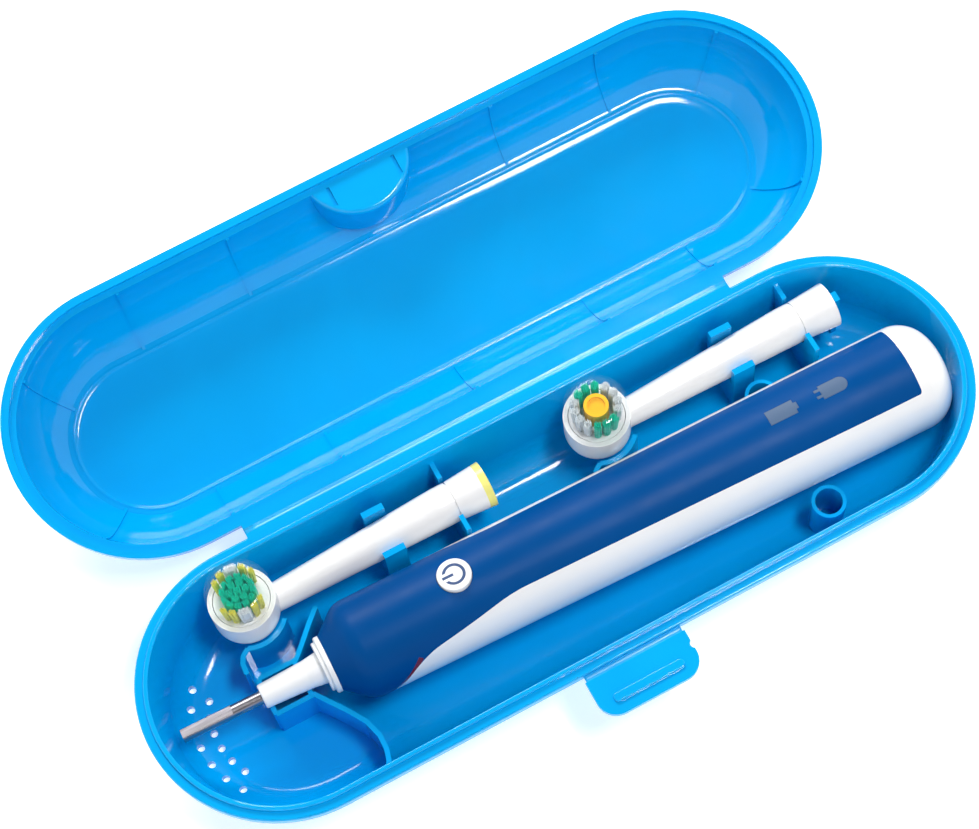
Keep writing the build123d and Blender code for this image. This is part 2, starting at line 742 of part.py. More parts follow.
def crank_gear():
    """Wheel with the crank pin on its face, the pin pointing up at rest."""
    wheel = wheel_at(gear_n, 0.25 * gear_n + 0.5, gear_x0 + 0.3, gear_t - 0.6, axle_z)
    wheel -= rod(1.0 + run_gap, gear_x0 - 1, gear_x0 + gear_t + 1, 0, axle_z)
    x0 = rocker_x0 + rocker_t + 0.4
    return wheel + rod(crank_pin_r, x0, gear_x0 + gear_t / 2, 0, axle_z + crank_r)


def chassis():
    """Tray that carries shaft, gear axle, motor and battery."""
    fit = handle_solid(skin_t + fit_gap)
    side = mid_r - skin_t - fit_gap - 1.3
    tray = fit & block(web_x0, chassis_x1, -20, 20, -20, 1.0)
    tray -= turned([(web_x0 - 1, 0), (web_x0 - 1, side), (chassis_x1 + 1, side),
                    (chassis_x1 + 1, 0)])
    webs = block(web_x0, web_x0 + web_t, -20, 20, -20, 7.5)
    webs += block(axle_x0, axle_x0 + web_t, -20, 20, -20, 7.5)
    webs += block(motor_x + motor_l + 3.0, battery_x - 3.0, -20, 20, -20, board_z)
    webs += block(chassis_x1 - 3.0, chassis_x1, -20, 20, -20, board_z)
    tray += webs & fit
    tray -= rod(shaft_r + run_gap, web_x0 - 1, web_x0 + web_t + 1)
    tray -= rod(2.6, axle_x0 - 1, axle_x0 + web_t + 1, 0, core_z)
    tray += rod(1.0, gear_x0 + 0.3, axle_x0 + 1, 0, axle_z)
    for x0, x1 in ((motor_x, motor_x + motor_l), (battery_x, battery_x + battery_l)):
        bed = block(x0 + 5, x1 - 5, -4, 4, -20, core_z - 4) & fit
        tray += bed - rod(motor_r + run_gap, x0, x1, 0, core_z)
    return one_solid(tray)


def motor_can():
    can = rod(motor_r, motor_x, motor_x + motor_l, 0, core_z)
    can += rod(2.2, motor_x - 1.4, motor_x, 0, core_z)
    return can - rod(0.9 + run_gap, motor_x - 3, motor_x + motor_l - 1.5, 0, core_z)


def battery():
    x1 = battery_x + battery_l
    cell = rod(battery_r, battery_x, x1, 0, core_z)
    cell = fillet(cell.edges().sort_by(Axis.X)[-1], 0.8)
    return cell + rod(2.2, x1, x1 + 0.8, 0, core_z)


def battery_contacts():
    """Spring strips from the cell's two ends up to the board."""
    x0 = battery_x + battery_l + 0.8
    rear = block(x0, x0 + 0.4, -2.4, 2.4, core_z - 2, board_z)
    front = block(battery_x - 0.4, battery_x, -2.4, 2.4, core_z - 2, board_z)
    return front, rear


def circuit_board():
    half = board_w / 2
    return block(motor_x + 0.6, chassis_x1, -half, half, board_z, board_z + board_t)


def board_parts():
    """Chips and light-emitting diodes on the board."""
    z = board_z + board_t
    x = battery_x
    parts = [block(x - 4, x + 2, -3, 3, z, z + 1.2), block(x + 12, x + 17, -2.5, 2.5, z, z + 1.2),
             block(x + 26, x + 29, 1, 4, z, z + 1.0)]
    for x in (battery_lens_x - 2, battery_lens_x + 2, charge_lens_x):
        parts.append(Pos(x, 0, z + 0.4) * Box(1.6, 1.2, 0.8))
    return parts


def tact_switch():
    z = board_z + board_t
    body = Pos(button_x, 0, z + switch_h / 2) * Box(5.2, 5.2, switch_h)
    return body + Pos(button_x, 0, z + switch_h + plunger_h / 2) * Cylinder(1.2, plunger_h)


def power_button():
    """Round button with a collar under the panel and a stem down to the switch."""
    top = body_r(button_x) + button_proud
    under = body_r(button_x) - skin_t
    collar_r = button_r + 0.8
    collar_z = math.sqrt(under ** 2 - collar_r ** 2) - 0.2
    cap = Pos(button_x, 0, (top + collar_z) / 2 - 0.4) * Cylinder(button_r, top - collar_z + 0.8)
    cap = fillet(cap.edges().sort_by(Axis.Z)[-1], 0.4)
    cap += Pos(button_x, 0, collar_z - 0.4) * Cylinder(collar_r, 0.8)
    foot = board_z + board_t + switch_h + plunger_h + button_stroke + 0.05
    if foot < collar_z - 0.8:
        cap += Pos(button_x, 0, (foot + collar_z) / 2) * Cylinder(1.2, collar_z - foot)
    return cap - button_symbol_shape(symbol_deep, 0.02)


def button_symbol_shape(depth, gap):
    """Power mark: a broken ring and a bar, in the button's top."""
    top = body_r(button_x) + button_proud
    ring = Cylinder(symbol_r + gap, depth) - Cylinder(symbol_r - symbol_w - gap, depth * 2)
    ring -= Pos(-4, 0, 0) * Box(8, 2.2 - 2 * gap, 2)
    bar = Pos(-1.6, 0, 0) * Box(2.8 + 2 * gap, symbol_w + 2 * gap, depth)
    return Pos(button_x, 0, top - depth / 2) * (ring + bar)


def bottom_cap():
    """End cap round the charging socket, with a spigot into the shell."""
    cap = handle_solid() & block(cap_x, body_x1 + 1, -20, 20, -20, 20)
    r = tail_r - skin_t - fit_gap
    spigot = rod(r, cap_x - 4.0, cap_x) - rod(r - 1.4, cap_x - 5, cap_x + 0.1)
    spigot -= rod(r + 1, cap_x - 3.0, cap_x - 1.6) - rod(r - 0.7, cap_x - 4, cap_x)
    hole = rod(socket_r + socket_wall + run_gap, cap_x - 5, body_x1 + 1)
    return cap + spigot - hole


def charging_socket():
    """Closed tube through the bottom cap that takes a charging stand's pin."""
    x0 = body_x1 - socket_l
    tube = rod(socket_r + socket_wall, x0 - socket_wall, body_x1 - 0.3)
    return tube - rod(socket_r, x0, body_x1)


def cap_ring():
    r = tail_r - skin_t - 0.02
    return rod(r, cap_x - 2.9, cap_x - 1.7) - rod(tail_r - skin_t - fit_gap - 0.68, cap_x - 4, cap_x)


def coil_bobbin():
    x1 = cap_x - 5.0
    x0 = x1 - coil_l
    tube = rod(coil_in_r, x0, x1) + rod(coil_r + 0.6, x0, x0 + 0.8) + rod(coil_r + 0.6, x1 - 0.8, x1)
    return tube - rod(socket_r + socket_wall + fit_gap, x0 - 1, x1 + 1)


def charging_coil():
    x1 = cap_x - 5.0 - 0.8
    x0 = cap_x - 5.0 - coil_l + 0.8
    return rod(coil_r, x0, x1) - rod(coil_in_r, x0 - 1, x1 + 1)


# ---------------------------------------------------------------- brush heads, own frame
def put_head(i, shape):
    """Head frame: brush axis at x 0, tube towards +X, bristles up. Into the case."""
    return Pos(head_x[i], head_y, head_z) * Rot(-head_roll[i], 0, 0) * shape


def round_face(x, r, z=0.0):
    """Circle across the head's length."""
    return Pos(x, 0, z) * (Plane.YZ * Circle(r))


def head_tube():
    """Tube and brush cup in one. The tube's back is nearly straight and its top falls away."""
    tip = tube_at(3.0)
    outer = loft([round_face(3.0, *tip), round_face(tube_x1, tube_r1)])
    outer += rod(tube_r1, tube_x1, collar_x)
    cup = Pos(0, 0, (cup_low + cup_high) / 2) * Cylinder(cup_r, cup_high - cup_low)
    cup = fillet(cup.edges().sort_by(Axis.Z)[0], cup_back_fillet)
    room_h = cup_high - cup_floor + 5
    room = Pos(0, 0, cup_floor + room_h / 2) * Cylinder(cup_r - cup_wall, room_h)
    room = fillet(room.edges().sort_by(Axis.Z)[0], cup_floor_fillet)
    tube = outer + cup - room
    tube += Pos(0, 0, cup_floor + 1.4) * (Cylinder(2.4, 3.0) - Cylinder(pin_r + run_gap, 5))
    bore = turned([(bore_mid_x, 0), (bore_mid_x, bore_mid_r), (head_l - bore_end_l, bore_mid_r),
                   (head_l - bore_end_l, bore_end_r), (head_l + 1, bore_end_r), (head_l + 1, 0)])
    return one_solid(tube - bore - rod(bore_front_r, 3.0, bore_mid_x + 0.1, 0, link_z))


def collar_face(x):
    """Outside of the flared open end at x."""
    return round_face(x, tube_r1 + (collar_r - tube_r1) * (x - collar_x) / (head_l - collar_x))


def head_collar(ring):
    """Plain end piece of a head, shorter where a coloured ring follows it."""
    x1 = head_l - (ring_l if ring else 0)
    tube = loft([collar_face(collar_x), collar_face(x1)]) - rod(bore_end_r, collar_x - 1, head_l + 1)
    groove = rod(tube_r1 + 1, collar_x - 0.1, collar_x + 0.35)
    return tube - (groove - rod(tube_r1 - 0.35, collar_x - 1, collar_x + 1))


def head_ring():
    ring = loft([collar_face(head_l - ring_l), collar_face(head_l)])
    return ring - rod(bore_end_r, collar_x, head_l + 1)


def head_socket():
    """Insert with the D-shaped hole for the drive shaft."""
    x0, x1 = bore_mid_x + socket_gap, head_l - bore_end_l - 0.5
    body = rod(bore_mid_r - run_gap, x0, x1)
    hole = rod(shaft_r + fit_gap, x1 - 13, x1 + 1)
    hole -= block(x1 - 14, x1 + 2, -5, 5, shaft_flat + fit_gap, 5)
    return body - hole


def head_link():
    """Steel rod from the socket to the brush disc, ending in the finger that drives the disc."""
    x1 = bore_mid_x + socket_gap
    finger = block(link_x0, link_x0 + 1.4, -0.5, 0.5, link_z, disc_z - 0.2)
    rods = rod(link_r, link_x0, x1, 0, link_z) + rod(1.05, x1 - 3.9, x1, 0, link_z)
    return rods + finger


def head_disc():
    """Turning disc on its pin."""
    disc = Pos(0, 0, disc_z + disc_t / 2) * Cylinder(disc_r, disc_t)
    disc += Pos(0, 0, (cup_floor + 0.3 + disc_z) / 2) * Cylinder(pin_r, disc_z - cup_floor - 0.3 + 0.2)
    return disc


# Tufts of each colour as (places round the disc in degrees, radius, rows outwards, rows across,
# length). Places start at +X.
tuft_table = {
    (0, "green"): [((0,), 0.0, 3, 3, strand_l - 0.3),
                   ((0, 60, 120, 180, 240, 300), 2.05, 2, 2, strand_l - 0.3),
                   (tuple(range(15, 360, 30)), 3.75, 2, 2, strand_l - 0.3)],
    (0, "white"): [((90, 270), 5.35, 3, 5, strand_l)],
    (0, "yellow"): [((62, 118, 242, 298), 5.4, 2, 3, strand_l + 0.3),
                    ((39, 141, 219, 321), 5.4, 2, 3, strand_l)],
    (1, "green"): [((65, 90, 115, 245, 270, 295), 4.85, 4, 3, strand_l - 0.3)],
    (1, "white"): [((12.5, 37.5, 142.5, 167.5, 192.5, 217.5, 322.5, 347.5), 4.85, 4, 3,
                    strand_l)],
}


def slice_zone(kind, colour):
    """Plan area of the disc's top slice that one bristle colour stands on."""
    far = 3 * disc_r
    half = (18.0, 38.5)[kind]
    middle = Circle((middle_r, polish_r)[kind])
    if (kind, colour) == (0, "green"):
        return middle
    poles = sector(90 - half, 90 + half, far) + sector(270 - half, 270 + half, far)
    whole = Circle(disc_r) - middle
    if (kind, colour) in ((0, "white"), (1, "green")):
        return whole & poles
    return whole - poles


def bristles(kind, colour):
    """Square strands of one colour, fused to their slice of the disc."""
    z = disc_z + disc_t
    strands = []
    for places, radius, rows, across, length in tuft_table[kind, colour]:
        stick = Pos(0, 0, length / 2 - 0.2) * Box(strand, strand, length + 0.4)
        lean = strand_lean if radius > middle_r else 0
        for a in places:
            for i in range(rows):
                for j in range(across):
                    x = (i - (rows - 1) / 2) * strand_pitch
                    y = (j - (across - 1) / 2) * strand_pitch
                    tuft = Pos(0, 0, z + slice_t) * Rot(0, 0, a) * Pos(radius, 0, 0)
                    strands.append(tuft * Rot(0, lean, 0) * Pos(x, y, 0) * stick)
    slab = extrude(Pos(0, 0, z) * slice_zone(kind, colour), slice_t)
    return Part() + slab + strands


def polish_cup():
    """Soft cup in the middle of head b, on its slice of the disc."""
    z = disc_z + disc_t
    cup = Pos(0, 0, z + (slice_t + polish_h) / 2) * Cylinder(polish_r, slice_t + polish_h)
    top = z + slice_t + polish_h
    return cup - Pos(0, 0, top) * Cylinder(polish_r - polish_wall, 1.6)


def head_cover():
    """Clear cap standing on the brush cup's rim."""
    z0 = cup_high + cover_gap
    r = cup_r - 0.15
    cap = Pos(0, 0, z0 + cover_h / 2) * Cylinder(r, cover_h)
    cap = fillet(cap.edges().sort_by(Axis.Z)[-1], cover_fillet)
    room = Pos(0, 0, z0 + (cover_h - cover_t) / 2 - 0.5) * Cylinder(r - cover_t, cover_h - cover_t + 1)
    room = fillet(room.edges().sort_by(Axis.Z)[-1], cover_fillet - cover_t)
    return cap - room


# ---------------------------------------------------------------- write every piece
def main():
    os.makedirs("parts", exist_ok=True)
    pieces = {
        "base_shell": base_shell(),
        "lid_shell": lid_shell(),
        "lid_hinge_film": hinge_film(),
        "latch_tab": latch_tab(),
        "latch_hinge_film": latch_film(),
    }
    contact_front, contact_rear = battery_contacts()
    handle = {
        "handle_shell": handle_shell(),
        "grip_panel": grip_panel(),
        "pressure_light": pressure_light(),
        "battery_lens": lens(0),
        "charge_lens": lens(1),
        "neck_sleeve": neck_sleeve(),
        "drive_shaft": drive_shaft(),
        "rocker_arm": rocker(),
        "shaft_seal": shaft_seal(),
        "motor_pinion": pinion(),
        "crank_gear": crank_gear(),
        "chassis": chassis(),
        "motor_can": motor_can(),
        "battery_cell": battery(),
        "battery_contact_front": contact_front,
        "battery_contact_rear": contact_rear,
        "circuit_board": circuit_board(),
        "board_components": Part() + board_parts(),
        "tact_switch": tact_switch(),
        "power_button": power_button(),
        "power_symbol": button_symbol_shape(symbol_deep, 0.0),
        "bottom_cap": bottom_cap(),
        "charging_socket": charging_socket(),
        "cap_o_ring": cap_ring(),
        "coil_bobbin": coil_bobbin(),
        "charging_coil": charging_coil(),
    }
    for name, shape in handle.items():
        pieces[name] = put_handle(shape)
    for i, letter in enumerate("ab"):
        head = {
            "tube": head_tube(),
            "collar": head_collar(i == 0),
            "socket": head_socket(),
            "link": head_link(),
            "disc": head_disc(),
            "bristles_green": bristles(i, "green"),
            "bristles_white": bristles(i, "white"),
            "cover": head_cover(),
        }
        if i == 0:
            head["ring"] = head_ring()
            head["bristles_yellow"] = bristles(i, "yellow")
        else:
            head["polish_cup"] = polish_cup()
        for name in head:
            if name.startswith(("disc", "bristles", "polish")):
                head[name] = Rot(0, 0, head_twist[i]) * head[name]
        for name, shape in head.items():
            pieces["head_" + letter + "_" + name] = put_head(i, shape)
    for name, shape in pieces.items():
        export_step(shape, os.path.join("parts", name + ".step"))


main()
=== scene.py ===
import bpy
import json
import math
import random
from mathutils import Matrix, Quaternion, Vector

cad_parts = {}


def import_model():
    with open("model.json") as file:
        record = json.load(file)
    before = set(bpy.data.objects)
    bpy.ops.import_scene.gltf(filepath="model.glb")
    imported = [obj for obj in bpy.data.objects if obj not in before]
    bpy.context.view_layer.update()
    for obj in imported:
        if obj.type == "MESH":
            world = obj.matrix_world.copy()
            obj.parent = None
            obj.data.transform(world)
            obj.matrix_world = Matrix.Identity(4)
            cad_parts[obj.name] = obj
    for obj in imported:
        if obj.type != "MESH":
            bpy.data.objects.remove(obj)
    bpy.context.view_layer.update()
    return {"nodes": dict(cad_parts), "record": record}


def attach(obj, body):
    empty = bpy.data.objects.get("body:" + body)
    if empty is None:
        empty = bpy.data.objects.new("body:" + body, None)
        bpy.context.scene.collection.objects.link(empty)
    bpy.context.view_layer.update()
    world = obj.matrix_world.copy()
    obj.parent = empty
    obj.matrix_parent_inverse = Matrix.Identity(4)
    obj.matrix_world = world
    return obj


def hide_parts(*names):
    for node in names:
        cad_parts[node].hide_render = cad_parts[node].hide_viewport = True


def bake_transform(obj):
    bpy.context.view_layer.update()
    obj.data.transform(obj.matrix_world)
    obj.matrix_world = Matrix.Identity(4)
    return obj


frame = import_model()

scene = bpy.context.scene
scene.view_settings.view_transform = "Standard"

# ---------------------------------------------------------------- camera
RIM = 0.024                      # height of the base's rim over its bottom
SENSOR = 36.0                    # mm
PICTURE_W = 979.0                # pixels
FOCAL = 2650.21                  # pixels
CAMERA_TURN = (2.666036, -0.685598, 0.051717)       # rotation vector, rim plane to camera
CAMERA_SHIFT = (0.016751, 0.026896, 0.628087)       # metres, in the camera's own axes


def rotation(r):
    """Rotation matrix of a rotation vector."""
    v = Vector(r)
    return Matrix.Rotation(v.length, 3, v.normalized())


def make_camera():
    """Camera fitted to the case's outline and rim heights."""
    turn = rotation(CAMERA_TURN)
    place = turn.transposed() @ -Vector(CAMERA_SHIFT)
    data = bpy.data.cameras.new("camera")
    data.sensor_width = SENSOR
    data.lens = FOCAL * SENSOR / PICTURE_W
    data.clip_start = 0.01
    data.clip_end = 20.0
    cam = bpy.data.objects.new("camera", data)
    scene.collection.objects.link(cam)
    axes = turn.transposed() @ Matrix(((1, 0, 0), (0, -1, 0), (0, 0, -1)))
    m = axes.to_4x4()
    m.translation = place + Vector((0, 0, RIM))
    cam.matrix_world = m
    scene.camera = cam


make_camera()


# ---------------------------------------------------------------- materials
def new_material(name):
    """Material with its node tree and its shader."""
    m = bpy.data.materials.new(name)
    m.use_nodes = True
    tree = m.node_tree
    shader = tree.nodes["Principled BSDF"]
    return m, tree, shader


def noise(tree, scale, detail=2.0, rough=0.5, distortion=0.0, stretch=(1, 1, 1)):
    """Noise in object space; scale is in cycles a metre."""
    coord = tree.nodes.new("ShaderNodeTexCoord")
    mapping = tree.nodes.new("ShaderNodeMapping")
    mapping.inputs["Scale"].default_value = stretch
    tree.links.new(coord.outputs["Object"], mapping.inputs["Vector"])
    tex = tree.nodes.new("ShaderNodeTexNoise")
    tex.inputs["Scale"].default_value = scale
    tex.inputs["Detail"].default_value = detail
    tex.inputs["Roughness"].default_value = rough
    tex.inputs["Distortion"].default_value = distortion
    tree.links.new(mapping.outputs["Vector"], tex.inputs["Vector"])
    return tex.outputs["Fac"]


def ramp(tree, value, stops):
    """Colour ramp from (position, colour or grey) stops."""
    node = tree.nodes.new("ShaderNodeValToRGB")
    el = node.color_ramp.elements
    while len(el) < len(stops):
        el.new(0.5)
    for e, (p, c) in zip(el, stops):
        e.position = p
        e.color = (c, c, c, 1) if isinstance(c, (int, float)) else tuple(c[:3]) + (1,)
    tree.links.new(value, node.inputs["Fac"])
    return node.outputs["Color"]


def bump(tree, shader, height, strength, distance, after=None):
    """Bump from a height value, on top of an earlier normal if one is given."""
    node = tree.nodes.new("ShaderNodeBump")
    node.inputs["Strength"].default_value = strength
    node.inputs["Distance"].default_value = distance
    tree.links.new(height, node.inputs["Height"])
    if after is not None:
        tree.links.new(after, node.inputs["Normal"])
    tree.links.new(node.outputs["Normal"], shader.inputs["Normal"])
    return node.outputs["Normal"]


def moulded(name, dark, light, rough=(0.12, 0.2), specular=0.5, coat=0.0, coat_rough=0.05,
            grain=700.0, grain_strength=0.05, wave=30.0, wave_strength=0.05):
    """Injection-moulded plastic: slow colour drift, uneven gloss, fine surface grain."""
    m, tree, shader = new_material(name)
    drift = noise(tree, 22.0, 3.0, 0.5, 0.6)
    tree.links.new(ramp(tree, drift, [(0.3, dark), (0.7, light)]), shader.inputs["Base Color"])
    gloss = noise(tree, 140.0, 4.0, 0.6)
    tree.links.new(ramp(tree, gloss, [(0.3, rough[0]), (0.75, rough[1])]),
                   shader.inputs["Roughness"])
    first = bump(tree, shader, noise(tree, wave, 1.0, 0.4), wave_strength, 0.0008)
    bump(tree, shader, noise(tree, grain, 3.0, 0.55), grain_strength, 0.00005, first)
    shader.inputs["Specular IOR Level"].default_value = specular
    shader.inputs["Coat Weight"].default_value = coat
    shader.inputs["Coat Roughness"].default_value = coat_rough
    return m


def metal(name, dark, light, rough=(0.18, 0.32), streak=(1, 30, 30), scale=60.0):
    """Drawn or turned metal with streaks along one axis."""
    m, tree, shader = new_material(name)
    lines = noise(tree, scale, 5.0, 0.65, 0.0, streak)
    tree.links.new(ramp(tree, lines, [(0.3, dark), (0.7, light)]), shader.inputs["Base Color"])
    tree.links.new(ramp(tree, lines, [(0.3, rough[0]), (0.7, rough[1])]),
                   shader.inputs["Roughness"])
    shader.inputs["Metallic"].default_value = 1.0
    bump(tree, shader, lines, 0.1, 0.00003)
    return m


def clear(name, tint, rough, alpha, specular=0.5, ior=1.5):
    """Thin clear plastic with faint mould marks."""
    m, tree, shader = new_material(name)
    marks = noise(tree, 260.0, 3.0, 0.5)
    tree.links.new(ramp(tree, marks, [(0.3, rough[0]), (0.8, rough[1])]),
                   shader.inputs["Roughness"])
    shader.inputs["Base Color"].default_value = tint + (1.0,)
    shader.inputs["Specular IOR Level"].default_value = specular
    shader.inputs["IOR"].default_value = ior
    shader.inputs["Alpha"].default_value = alpha
    bump(tree, shader, noise(tree, 90.0, 1.0), 0.08, 0.0004)
    return m


M = {}
M["case_blue"] = moulded("case_blue", (0.0, 0.345, 0.76), (0.0, 0.385, 0.83), (0.06, 0.12),
                         specular=0.4, grain_strength=0.03, wave_strength=0.04)
M["case_film"] = moulded("case_film", (0.0, 0.35, 0.78), (0.02, 0.46, 0.88), (0.2, 0.3))
M["panel_blue"] = moulded("panel_blue", (0.0, 0.058, 0.225), (0.0, 0.067, 0.262), (0.3, 0.42),
                          specular=0.06, grain=1600.0, grain_strength=0.12)
M["mark_blue"] = moulded("mark_blue", (0.0, 0.035, 0.14), (0.0, 0.05, 0.19), (0.3, 0.4))
M["white"] = moulded("white_plastic", (0.83, 0.825, 0.82), (0.88, 0.875, 0.87), (0.16, 0.26),
                     specular=0.5, grain_strength=0.05)
M["white_satin"] = moulded("white_satin", (0.8, 0.8, 0.8), (0.88, 0.88, 0.88), (0.3, 0.42),
                           specular=0.4, grain=1200.0, grain_strength=0.1)
M["red"] = moulded("red_light", (0.1, 0.0, 0.004), (0.32, 0.01, 0.02), (0.08, 0.16), coat=0.6)
M["yellow_ring"] = moulded("yellow_ring", (0.82, 0.76, 0.18), (0.9, 0.85, 0.28), (0.2, 0.3))
M["polish"] = moulded("polish_rubber", (0.95, 0.47, 0.0), (1.0, 0.6, 0.0), (0.35, 0.5),
                      specular=0.2, grain=1500.0, grain_strength=0.2)
M["green_nylon"] = moulded("green_nylon", (0.0, 0.62, 0.4), (0.0, 0.86, 0.62), (0.3, 0.45),
                           grain=2500.0)
M["white_nylon"] = moulded("white_nylon", (0.86, 0.9, 0.92), (0.95, 0.97, 0.98), (0.3, 0.45),
                           grain=2500.0)
M["yellow_nylon"] = moulded("yellow_nylon", (0.85, 0.76, 0.02), (1.0, 0.95, 0.12), (0.3, 0.45),
                            grain=2500.0)
M["rubber"] = moulded("rubber_seal", (0.012, 0.012, 0.013), (0.03, 0.03, 0.032), (0.5, 0.65),
                      specular=0.3)
M["cell"] = moulded("cell_wrap", (0.02, 0.16, 0.09), (0.04, 0.24, 0.13), (0.25, 0.4))
M["frame_plastic"] = moulded("frame_plastic", (0.5, 0.5, 0.47), (0.62, 0.62, 0.59), (0.35, 0.5))
M["board"] = moulded("board_green", (0.0, 0.1, 0.03), (0.01, 0.16, 0.06), (0.25, 0.4), coat=0.3)
M["chip"] = moulded("chip_black", (0.012, 0.012, 0.012), (0.03, 0.03, 0.03), (0.4, 0.55))
M["steel"] = metal("steel", (0.2, 0.19, 0.2), (0.38, 0.36, 0.4), (0.24, 0.36))
M["plated"] = metal("plated_steel", (0.45, 0.45, 0.46), (0.62, 0.62, 0.63), (0.2, 0.35))
M["copper"] = metal("copper_wire", (0.55, 0.22, 0.08), (0.8, 0.38, 0.18), (0.25, 0.4),
                    (60, 2, 2), 40.0)
M["cover"] = clear("clear_cover", (0.08, 0.42, 0.5), (0.02, 0.05), 0.045, 1.0, 2.4)
M["lens"] = clear("smoked_lens", (0.09, 0.15, 0.26), (0.35, 0.45), 0.9, 0.2)

LOOKS = {
    "case_blue": ["base_shell", "lid_shell", "latch_tab"],
    "panel_blue": ["grip_panel"],
    "mark_blue": ["power_symbol"],
    "white": ["handle_shell", "bottom_cap", "charging_socket", "power_button", "head_a_tube",
              "head_b_tube", "head_a_collar", "head_b_collar"],
    "white_satin": ["neck_sleeve", "head_a_disc", "head_b_disc"],
    "red": ["pressure_light"],
    "lens": ["battery_lens", "charge_lens"],
    "cover": ["head_a_cover", "head_b_cover"],
    "steel": ["drive_shaft", "head_a_link", "head_b_link", "motor_pinion"],
    "rubber": ["shaft_seal", "cap_o_ring"],
    "cell": ["battery_cell"],
    "plated": ["battery_contact_front", "battery_contact_rear", "motor_can"],
    "frame_plastic": ["chassis", "coil_bobbin", "rocker_arm", "crank_gear", "head_a_socket",
                      "head_b_socket"],
    "board": ["circuit_board"],
    "chip": ["board_components", "tact_switch"],
    "copper": ["charging_coil"],
    "yellow_ring": ["head_a_ring"],
    "polish": ["head_b_polish_cup"],
}


def dress(node, material):
    """Give a carried-over node its material."""
    obj = frame["nodes"][node]
    if not obj.material_slots:
        obj.data.materials.append(material)
    for s in obj.material_slots:
        s.material = material


for look, nodes in LOOKS.items():
    for node in nodes:
        dress(node, M[look])


# ---------------------------------------------------------------- frames of the loose pieces
def mm(*v):
    """Vector in metres from millimetres."""
    return Vector(v) / 1000.0


JOINTS = {j["name"]: j for j in frame["record"]["behaviour"]["joints"]}
JOINT_RISE = 0.005               # brush joint above the head frame's origin, metres
TWIST = {"a": -8.0, "b": 0.0}    # degrees each brush is turned


def head_frame(letter):
    """Brush head frame: brush axis at x 0, tube towards +X, bristles up, brush with its turn."""
    joint = JOINTS["head_%s_brush_turn" % letter]
    up = Vector(joint["axis"])
    place = Matrix.Translation(Vector(joint["pos_m"]) - JOINT_RISE * up)
    lean = Matrix.Rotation(-math.atan2(up.y, up.z), 4, "X")
    return place @ lean @ Matrix.Rotation(math.radians(TWIST[letter]), 4, "Z")


HEADS = {letter: head_frame(letter) for letter in TWIST}
HINGE_Y, HINGE_Z = (1000.0 * v for v in JOINTS["lid_hinge"]["pos_m"][1:])
LATCH_Y, LATCH_Z = (1000.0 * v for v in JOINTS["latch_hinge"]["pos_m"][1:])
LID_RAISE = 11.5                 # degrees that the open lid stands up from flat
STRAIGHT = 74.5                  # half length of the case's straight sides
LID_FLOOR = -20.0                # lid floor under its rim, in the lid laid flat


def mesh_piece(name, verts, faces, material, smooth=True):
    """New object from vertices in metres, in the shared frame."""
    data = bpy.data.meshes.new(name)
    data.from_pydata([tuple(v) for v in verts], [], faces)
    data.update()
    for p in data.polygons:
        p.use_smooth = smooth
    data.materials.append(material)
    obj = bpy.data.objects.new(name, data)
    scene.collection.objects.link(obj)
    return obj


# ---------------------------------------------------------------- bristles
BRISTLE_Z = 6.4                  # top of the brush disc in the head's frame, mm
DISC_R = 6.85
DISC_EDGE = 0.15                 # width of the disc's bevel
PITCH = 0.29                     # strand to strand
STRAND_R = 0.118
SINK = 0.3                       # strands start this far under the disc's face
OUTER_RADIUS = 4.5               # tufts further out than this lean outwards
LEAN = 3.6                       # degrees
UNEVEN = 0.09                    # tips wander this far sideways


def add_strand(verts, faces, base, tip, radius, spin, sides=5):
    """One strand: a prism that narrows to a rounded tip."""
    axis = (tip - base).normalized()
    side = axis.orthogonal().normalized()
    other = axis.cross(side)
    rings = ((0.0, 1.0), (0.5, 1.0), (0.93, 0.92), (1.0, 0.45))
    first = len(verts)
    for t, k in rings:
        c = base.lerp(tip, t)
        for i in range(sides):
            a = spin + 2 * math.pi * i / sides
            verts.append(c + (side * math.cos(a) + other * math.sin(a)) * radius * k)
    for r in range(len(rings) - 1):
        for i in range(sides):
            a = first + r * sides + i
            b = first + r * sides + (i + 1) % sides
            faces.append((a, b, b + sides, a + sides))
    faces.append(tuple(first + i for i in reversed(range(sides))))
    last = first + (len(rings) - 1) * sides
    faces.append(tuple(last + i for i in range(sides)))


def tuft_places(width, depth, pitch, rng):
    """Hexagonal strand places in a rounded rectangle, slightly uneven."""
    out = []
    rows = int(depth / (pitch * 0.87))
    for r in range(-rows, rows + 1):
        y = r * pitch * 0.87
        n = int(width / pitch) + 1
        for i in range(-n, n + 1):
            x = (i + 0.5 * (r % 2)) * pitch
            if (abs(x) / (width / 2)) ** 3 + (abs(y) / (depth / 2)) ** 3 <= 1.0:
                out.append((x + rng.uniform(-0.02, 0.02), y + rng.uniform(-0.02, 0.02)))
    return out


